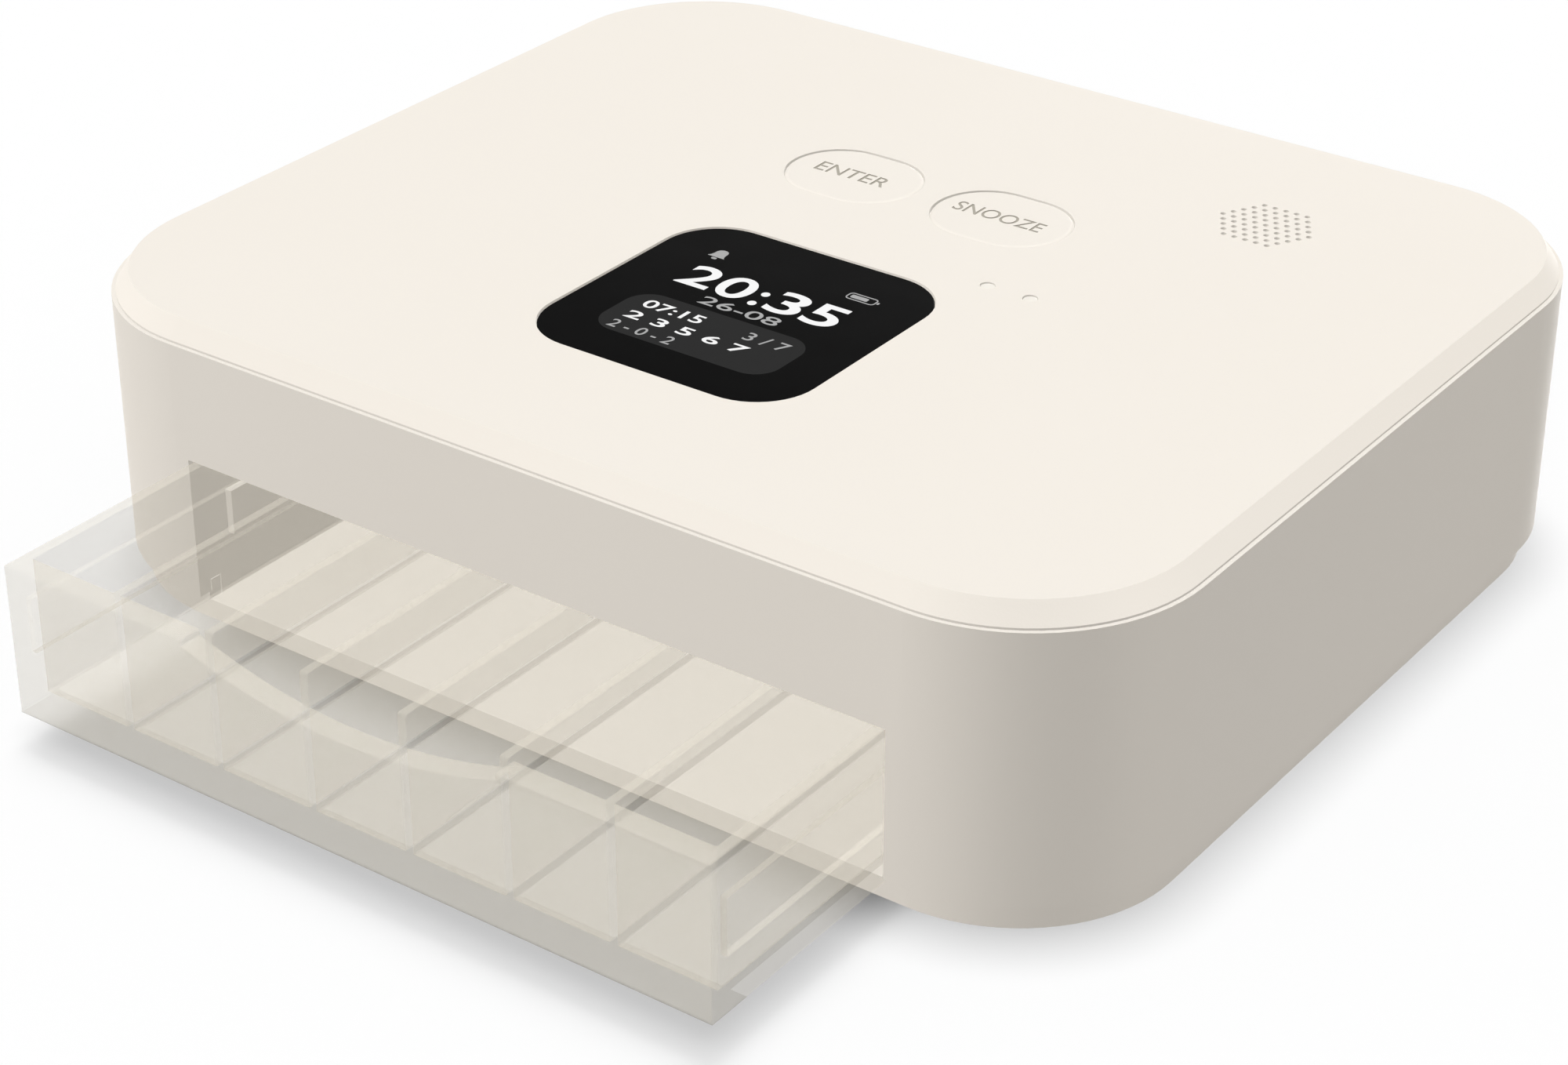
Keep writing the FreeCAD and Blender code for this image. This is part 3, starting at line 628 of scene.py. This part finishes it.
bell = lens_middle + Vector((-14.8, 15.2, 0)) * mm
bell_side = ((0.30, 1.75), (0.85, 1.45), (1.10, 0.90), (1.15, 0.10), (1.30, -0.50), (1.65, -1.00))
bell_outline = [(s, t) for s, t in bell_side] + [(-s, t) for s, t in reversed(bell_side)]
skin_rings(grey, [
    [grey.verts.new((bell.x + s * mm, bell.y + t * mm, level)) for s, t in reversed(bell_outline)]
    for level in (ink_foot, ink_top)
])
clapper = bell + Vector((0, -1.55, 0)) * mm
skin_rings(grey, [rounded_ring(grey, clapper, 1.0 * mm, 0.6 * mm, 0.29 * mm, level, 5)
                  for level in (ink_foot, ink_top)])

card = bmesh.new()
skin_rings(card, [rounded_ring(card, card_middle, card_width, card_depth, card_radius, level)
                  for level in (ink_foot, card_top)])
new_piece("screen_card", card, lit_colour("lit_card", (0.0225, 0.0225, 0.0225, 1)), "housing")
new_piece("screen_numbers", white, lit_colour("lit_white", (0.98, 0.98, 0.98, 1)), "housing")
new_piece("screen_signs", grey, lit_colour("lit_grey", (0.44, 0.44, 0.44, 1)), "housing")


# Buttons: two long caps in the casing's plastic, held by a flange under the lid, with a soft edge.
# Each has its word cut into its face, coloured a flat grey that is painted shade for the cut. A silicone
# dome under each one
# pushes it up.
def carve(piece, cutter):
    cut = piece.modifiers.new("carving", "BOOLEAN")
    cut.object = cutter
    cut.solver = "EXACT"
    cut.material_mode = "TRANSFER"
    carved = bpy.data.meshes.new_from_object(piece.evaluated_get(bpy.context.evaluated_depsgraph_get()))
    piece.modifiers.clear()
    bpy.data.objects.remove(cutter)
    bm = bmesh.new()
    bm.from_mesh(carved)
    bmesh.ops.triangulate(bm, faces=bm.faces)
    bm.to_mesh(carved)
    bm.free()
    piece.data = carved
    carved.shade_smooth()
    carved.set_sharp_from_angle(angle=math.radians(30))


engraving = 0.15 * mm
flange_reach = 1.5 * mm
flange_thickness = 1.2 * mm
stem_length = 1.0 * mm
stem_width = 4.4 * mm
cap_edge = 0.8 * mm
dome_foot = 0.8 * mm
dome_ledge = 1.3 * mm
dome_lean = 0.8 * mm
dome_wall = 1.5 * mm

# Painted shade: the cut letters take this flat grey in place of the shade inside them.
painted_word_shade = Finish("painted_word_shade", {"Specular IOR Level": 0.2})
word_shade_grain = painted_word_shade.grain(1500.0, 2.0)
painted_word_shade.feed(
    base_color=tint(word_shade_grain, (0.425, 0.393, 0.335, 1), (0.465, 0.433, 0.370, 1)),
    roughness=0.55 + 0.15 * word_shade_grain,
)
cap_plastic = Finish("cap_moulding", {"Specular IOR Level": 0.25})
flow = cap_plastic.grain(30.0, 3.0)
pores = cap_plastic.grain(pore_scale)
cap_plastic.feed(
    base_color=tint(0.8 * flow + 0.2 * pores, (0.902, 0.850, 0.776, 1), (0.922, 0.876, 0.806, 1)),
    roughness=0.46 + 0.12 * pores,
    normal=relief(pores, pore_depth),
)
dome = Finish("clear_silicone", {"Alpha": 0.75, "Specular IOR Level": 0.4})
cloudy = dome.grain(500.0, 3.0)
dome.feed(
    base_color=tint(cloudy, (0.66, 0.65, 0.61, 1), (0.78, 0.77, 0.73, 1)),
    roughness=0.35 + 0.2 * cloudy,
)
for key, words, left, right, low, high in (
    ("confirm", "ENTER", -7.7, 6.6, -1.4, 2.2),
    ("snooze", "SNOOZE", -9.3, 7.8, -1.4, 2.2),
):
    node = key + "_button"
    body = key + "_cap"
    cap_low, cap_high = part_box(node)
    middle = (cap_low + cap_high) / 2
    flange_low = cap_low.z + stem_length
    flange_high = flange_low + flange_thickness
    stations = [(0, flange_low), (0, flange_high), (flange_reach, flange_high)]
    for step in range(7):
        turn = math.radians(15 * step)
        inset = flange_reach + cap_edge * (1 - math.cos(turn))
        stations.append((inset, cap_high.z - cap_edge * (1 - math.sin(turn))))
    bm = bmesh.new()
    rings = [rounded_ring(bm, middle, stem_width, stem_width, stem_width / 2, level, 24)
             for level in (cap_low.z, flange_low)]
    for inset, level in stations:
        width = cap_high.x - cap_low.x - 2 * inset
        depth = cap_high.y - cap_low.y - 2 * inset
        rings.append(rounded_ring(bm, middle, width, depth, depth / 2, level, 24))
    skin_rings(bm, rings)
    bmesh.ops.remove_doubles(bm, verts=bm.verts, dist=1e-7)
    cap = new_piece(node + "_cap", bm, cap_plastic, body)
    cutter_shape = bmesh.new()
    add_lettering(cutter_shape, words, 0.004, middle.x + left * mm, middle.x + right * mm,
                  middle.y + low * mm, middle.y + high * mm, cap_high.z - engraving, cap_high.z + mm)
    cutter = new_piece(node + "_cutter", cutter_shape, painted_word_shade, body)
    carve(cap, cutter)
    cap.modifiers.new("even_shading", "WEIGHTED_NORMAL").keep_sharp = True
    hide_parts(node)

    dome_low, dome_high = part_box(key + "_dome")
    middle = (dome_low + dome_high) / 2
    foot_radius = (dome_high.x - dome_low.x) / 2
    shoulder = foot_radius - dome_ledge
    rim = shoulder - dome_lean
    bm = bmesh.new()
    skin_rings(bm, [
        rounded_ring(bm, middle, 2 * radius, 2 * radius, radius, level)
        for radius, level in (
            (foot_radius, dome_low.z),
            (foot_radius, dome_low.z + dome_foot),
            (shoulder, dome_low.z + dome_foot),
            (rim, dome_high.z),
            (rim - dome_wall, dome_high.z),
            (shoulder - dome_wall, dome_low.z),
        )
    ], hollow=True)
    bmesh.ops.remove_doubles(bm, verts=bm.verts, dist=1e-7)
    spring = new_piece(key + "_dome_spring", bm, dome, "housing", smooth_angle=30)
    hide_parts(key + "_dome")
    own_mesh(spring)


# Status lights: two milky acrylic pipes pushed into the lid from inside, each with a collar, over two
# small lamps. Their tips are rounded and a little below the lid. The lamps are white ceramic blocks
# with a dome of pale yellow phosphor.
pipe_width = 2.4 * mm
collar_width = 4.4 * mm
collar_low = 51.2 * mm
collar_high = 52.4 * mm
tip_recess = 0.12 * mm
tip_edge = 0.2 * mm
lamp_half = 1.0 * mm
phosphor_radius = 0.4 * mm

pipe_low, pipe_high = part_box("light_pipes")
tip = pipe_high.z - tip_recess
bm = bmesh.new()
for px in (pipe_low.x + collar_width / 2, pipe_high.x - collar_width / 2):
    centre = Vector((px, (pipe_low.y + pipe_high.y) / 2, 0))
    stations = [(pipe_width, pipe_low.z), (pipe_width, collar_low), (collar_width, collar_low),
                (collar_width, collar_high), (pipe_width, collar_high)]
    for step in range(5):
        turn = math.radians(22.5 * step)
        width = pipe_width - 2 * tip_edge * (1 - math.cos(turn))
        stations.append((width, tip - tip_edge * (1 - math.sin(turn))))
    skin_rings(bm, [rounded_ring(bm, centre, width, width, width / 2, level) for width, level in stations])
bmesh.ops.remove_doubles(bm, verts=bm.verts, dist=1e-7)
milky = Finish("milky_acrylic", {"Specular IOR Level": 0.3})
clouds = milky.grain(800.0, 3.0)
milky.feed(
    base_color=tint(clouds, (0.915, 0.872, 0.792, 1), (0.935, 0.898, 0.824, 1)),
    roughness=0.30 + 0.1 * clouds,
)
pipes = new_piece("light_pipe_pair", bm, milky, "housing", smooth_angle=30)
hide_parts("light_pipes")

lamp_low, lamp_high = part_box("status_leds")
lamps = Finish("lamp_package", {"Specular IOR Level": 0.4})
x, y, z = lamps.axes()
lamp_offset = (lamp_high.x - lamp_low.x) / 2 - lamp_half
across = (x - (lamp_low.x + lamp_high.x) / 2).math("ABSOLUTE") - lamp_offset
along = y - (lamp_low.y + lamp_high.y) / 2
phosphor = (across * across + along * along) < phosphor_radius ** 2
ceramic = lamps.grain(5000.0)
lamps.feed(
    base_color=tint(phosphor, (0.82, 0.82, 0.80, 1), (0.80, 0.62, 0.10, 1)),
    roughness=0.30 + 0.2 * ceramic,
)
lamps.dress("status_leds")


# Charging port: a drawn steel shell with a tongue of black resin, and the shell's inside painted the same
# black as painted shade.
# It is soldered to the small board at the back, and opens through the shell's back wall.
port_shell = 0.35 * mm

port_low, port_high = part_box("charge_port")
port_middle = (port_low + port_high) / 2
half_height = (port_high.z - port_low.z) / 2
half_straight = (port_high.x - port_low.x) / 2 - half_height
port = Finish("port_shell", {"Specular IOR Level": 0.2})
x, y, z = port.axes()
drawn = port.grain(1800.0, 1.0, stretch=(1, 0.05, 1))
past_straight = (x - port_middle.x).math("ABSOLUTE") - half_straight
sideways = past_straight.math("MAXIMUM", past_straight, 0.0)
upwards = z - port_middle.z
# Painted shade: the steel inside the shell takes the resin's black, along with the real tongue.
tongue_and_shaded_inside = (sideways * sideways + upwards * upwards) < (half_height - port_shell / 2) ** 2
steel = tint(drawn, (0.52, 0.52, 0.53, 1), (0.66, 0.66, 0.67, 1))
black_for_tongue_and_shade = tint(drawn, (0.012, 0.012, 0.013, 1), (0.030, 0.030, 0.032, 1))
port.feed(
    base_color=tint(tongue_and_shaded_inside, steel, black_for_tongue_and_shade),
    metallic=1 - tongue_and_shaded_inside,
    roughness=0.28 + 0.2 * drawn + 0.25 * tongue_and_shaded_inside,
    normal=relief(drawn, 0.00001),
)
port.dress("charge_port")


# Screws: pan-head screws of zinc-plated steel, which hold the base, the bay, the main board, the
# speaker's bar and the charging board. The four in the base show, with a cross cut in each head and
# a rolled thread.
head_profile = ((2.0, 0.0), (2.4, 0.12), (2.65, 0.4), (2.75, 0.8), (2.75, 1.8), (1.35, 1.8))
head_height = 1.8 * mm
head_radius = 2.75 * mm
thread_radius = 1.5 * mm
thread_depth = 0.25 * mm
thread_pitch = 1.2 * mm
cross_length = 3.0 * mm
cross_width = 0.75 * mm
cross_depth = 1.1 * mm
cross_taper = 0.7
ring_points = 24
rings_per_pitch = 4

zinc = Finish("zinc_plate", {"Metallic": 1.0})
turned = zinc.grain(2600.0, 2.0)
zinc.feed(
    base_color=tint(turned, (0.22, 0.225, 0.235, 1), (0.30, 0.305, 0.315, 1)),
    roughness=0.36 + 0.2 * turned,
    normal=relief(turned, 0.00001),
)
zinc.dress("bay_screws", "board_screws", "clamp_screws", "charge_screws")

screws_low, screws_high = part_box("base_screws")
head_foot = screws_low.z + head_height
half = cross_length / 2
arm = cross_width / 2
cross = ((half, -arm), (half, arm), (arm, arm), (arm, half), (-arm, half), (-arm, arm),
         (-half, arm), (-half, -arm), (-arm, -arm), (-arm, -half), (arm, -half), (arm, -arm))
thread_steps = round((screws_high.z - head_foot) / thread_pitch * rings_per_pitch)
bm = bmesh.new()
crosses = bmesh.new()
for sx in (screws_low.x + head_radius, screws_high.x - head_radius):
    for sy in (screws_low.y + head_radius, screws_high.y - head_radius):
        rings = []
        for radius, level in head_profile:
            rings.append([
                bm.verts.new((sx + radius * mm * math.cos(turn), sy + radius * mm * math.sin(turn),
                              screws_low.z + level * mm))
                for turn in (2 * math.pi * k / ring_points for k in range(ring_points))
            ])
        for step in range(1, thread_steps + 1):
            level = head_foot + (screws_high.z - head_foot) * step / thread_steps
            ring = []
            for k in range(ring_points):
                turn = 2 * math.pi * k / ring_points
                rise = math.cos(2 * math.pi * (level - head_foot) / thread_pitch - turn)
                radius = thread_radius - thread_depth * (1 - rise) / 2
                place = (sx + radius * math.cos(turn), sy + radius * math.sin(turn), level)
                ring.append(bm.verts.new(place))
            rings.append(ring)
        skin_rings(bm, rings)
        skin_rings(crosses, [
            [crosses.verts.new((sx + size * px, sy + size * py, level)) for px, py in cross]
            for size, level in ((1.0, screws_low.z - mm), (1.0, screws_low.z),
                                (cross_taper, screws_low.z + cross_depth))
        ])
base_screws = new_piece("base_screw_set", bm, zinc, "housing")
carve(base_screws, new_piece("base_screw_crosses", crosses, zinc, "housing"))
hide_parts("base_screws")


# Stage: a wide sheet of white paper, flat on a table, that the box stands on.
# It is quite matt, and takes the box's soft shadow.
floor_size = 6.0

bm = bmesh.new()
bmesh.ops.create_grid(bm, x_segments=1, y_segments=1, size=floor_size / 2)
floor_mesh = bpy.data.meshes.new("floor")
bm.to_mesh(floor_mesh)
bm.free()
floor = bpy.data.objects.new("floor", floor_mesh)
bpy.context.scene.collection.objects.link(floor)
paper = Finish("white_paper", {"Base Color": (1, 1, 1, 1), "Roughness": 1.0, "Specular IOR Level": 0.0})
floor.data.materials.append(paper.material)


# Light: soft lamps on the box from overhead, the front left, the right, the back and over its right
# edge, which cast no shadow, so its slot stays clear. The floor has lamps of its own, from above and
# behind, one for the lid's shadow and two for the drawer's. Faces throw no light on each other.
def soft_lamp(name, azimuth, elevation, level, spread, colour, lit):
    lamp = bpy.data.lights.new(name, "SUN")
    lamp.energy = level * math.pi
    lamp.angle = math.radians(spread)
    lamp.color = colour
    lamp.cycles.use_multiple_importance_sampling = False
    holder = bpy.data.objects.new(name, lamp)
    a = math.radians(azimuth)
    e = math.radians(elevation)
    towards = Vector((math.sin(a) * math.cos(e), -math.cos(a) * math.cos(e), math.sin(e)))
    holder.rotation_mode = "QUATERNION"
    holder.rotation_quaternion = towards.to_track_quat("Z", "Y")
    holder.location = towards
    holder.light_linking.receiver_collection = lit
    bpy.context.scene.collection.objects.link(holder)
    return holder


daylight = (1.0, 1.0, 1.0)
warm = (1.0, 0.985, 0.965)
sky_level = 0.05
shadow_side = 216
shadows = (
    ("lid_lamp", 86.4, 0.38, 17, "top_cover"),
    ("drawer_lamp", 90.0, 0.21, 90, "pill_drawer"),
    ("drawer_front_lamp", 35.0, 0.21, 40, "pill_drawer"),
)
floor_level = 1 - sky_level - sum(level for name, elevation, level, spread, blocker in shadows)

the_box = bpy.data.collections.new("lit_box")
the_box.objects.link(floor)
the_box.collection_objects[0].light_linking.link_state = "EXCLUDE"
for place in (
    ("overhead_lamp", 0, 90, 0.700, 40, daylight),
    ("key_lamp", -49, -10, 0.725, 40, warm),
    ("right_lamp", 82, 10, 0.275, 50, warm),
    ("back_lamp", 198, -15, 0.510, 50, warm),
    ("edge_lamp", 60, 45, 0.240, 40, warm),
):
    soft_lamp(*place, the_box).data.use_shadow = False

the_floor = bpy.data.collections.new("lit_floor")
the_floor.objects.link(floor)
soft_lamp("floor_lamp", 0, 90, floor_level, 30, daylight, the_floor).data.use_shadow = False
for name, elevation, level, spread, blocker in shadows:
    slant = math.sin(math.radians(elevation))
    lamp = soft_lamp(name, shadow_side, elevation, level / slant, spread, daylight, the_floor)
    lamp.light_linking.blocker_collection = bpy.data.collections.new(name + "_blocker")
    lamp.light_linking.blocker_collection.objects.link(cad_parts[blocker])
bpy.context.scene.cycles.diffuse_bounces = 0
bpy.context.scene.cycles.transparent_max_bounces = 32

world = bpy.data.worlds.new("studio")
bpy.context.scene.world = world
world.use_nodes = True
path = Signal(world.node_tree).node("ShaderNodeLightPath", {}, {}, "Is Camera Ray")
shown = path + path.output("Is Glossy Ray") + path.output("Is Transmission Ray")
level = sky_level + (1 - sky_level) * shown.math("MINIMUM", shown, 1.0)
backdrop = world.node_tree.nodes["Background"]
backdrop.inputs["Color"].default_value = (1, 1, 1, 1)
world.node_tree.links.new(level.socket, backdrop.inputs["Strength"])


# Camera: at the height and on the side that the box is seen from, with a long lens.
# Its sensor is shifted, because the middle of the picture is below the middle of the lens.
focal = 4438.6
image_width = 2000
image_height = 1358
optical_centre = (992.9, 577.7)
camera_place = (0.29614, -0.42561, 0.29537)
azimuth = math.radians(35.96)
elevation = math.radians(28.28)

camera_data = bpy.data.cameras.new("camera")
camera_data.sensor_width = 36.0
camera_data.lens = focal / image_width * camera_data.sensor_width
camera_data.shift_x = (image_width / 2 - optical_centre[0]) / image_width
camera_data.shift_y = (optical_centre[1] - image_height / 2) / image_width
camera = bpy.data.objects.new("camera", camera_data)
back = Vector((math.sin(azimuth) * math.cos(elevation), -math.cos(azimuth) * math.cos(elevation),
               math.sin(elevation)))
camera.location = camera_place
camera.rotation_mode = "QUATERNION"
camera.rotation_quaternion = (-back).to_track_quat("-Z", "Y")
bpy.context.scene.collection.objects.link(camera)
bpy.context.scene.camera = camera
bpy.context.scene.view_settings.view_transform = "Standard"
